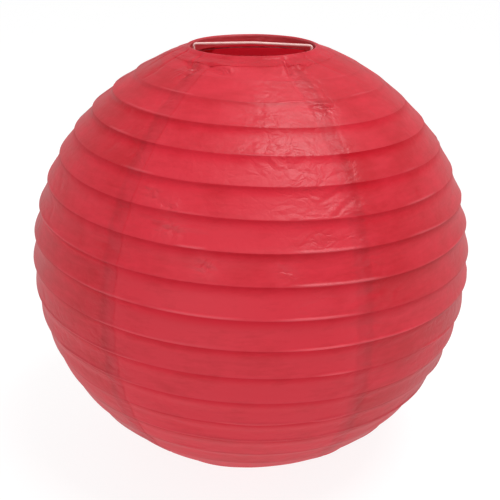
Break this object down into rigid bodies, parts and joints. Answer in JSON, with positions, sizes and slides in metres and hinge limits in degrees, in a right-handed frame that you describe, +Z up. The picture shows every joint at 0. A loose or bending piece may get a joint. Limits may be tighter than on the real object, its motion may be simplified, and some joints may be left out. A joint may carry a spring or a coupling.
{
  "type": "paper lantern",
  "caption": "Collapsible round paper lantern with pasted gores over a spiral wire rib, an open ring at each end and a removable wire expander.",
  "frame": {"origin": "on the floor, at the centre of the lantern's footprint, under the bottom ring", "axes": "+Z up through both rings; the front faces -Y and +X is to the right seen from the front"},
  "size_m": [0.2994, 0.2994, 0.291],
  "materials": {
    "red_paper": "matte",
    "ring_steel": "satin",
    "rib_steel": "satin",
    "expander_steel": "satin"
  },
  "bodies": {
    "shade": {"gore_1": "red_paper", "gore_2": "red_paper", "gore_3": "red_paper", "gore_4": "red_paper", "gore_5": "red_paper", "gore_6": "red_paper", "rib_spiral": "rib_steel", "bottom_ring": "ring_steel", "bottom_hem": "red_paper"},
    "top_frame": {"top_ring": "ring_steel", "top_hem": "red_paper"},
    "expander": {"expander": "expander_steel"}
  },
  "joints": [
    {"name": "fold", "type": "slide", "parent": "shade", "child": "top_frame", "axis": [0, 0, -1], "range_m": [0, 0.272], "deforming": ["gore_1", "gore_2", "gore_3", "gore_4", "gore_5", "gore_6", "rib_spiral"]},
    {"name": "expander_lift", "type": "slide", "parent": "shade", "child": "expander", "axis": [0, 0, 1], "range_m": [0, 0.295]}
  ]
}
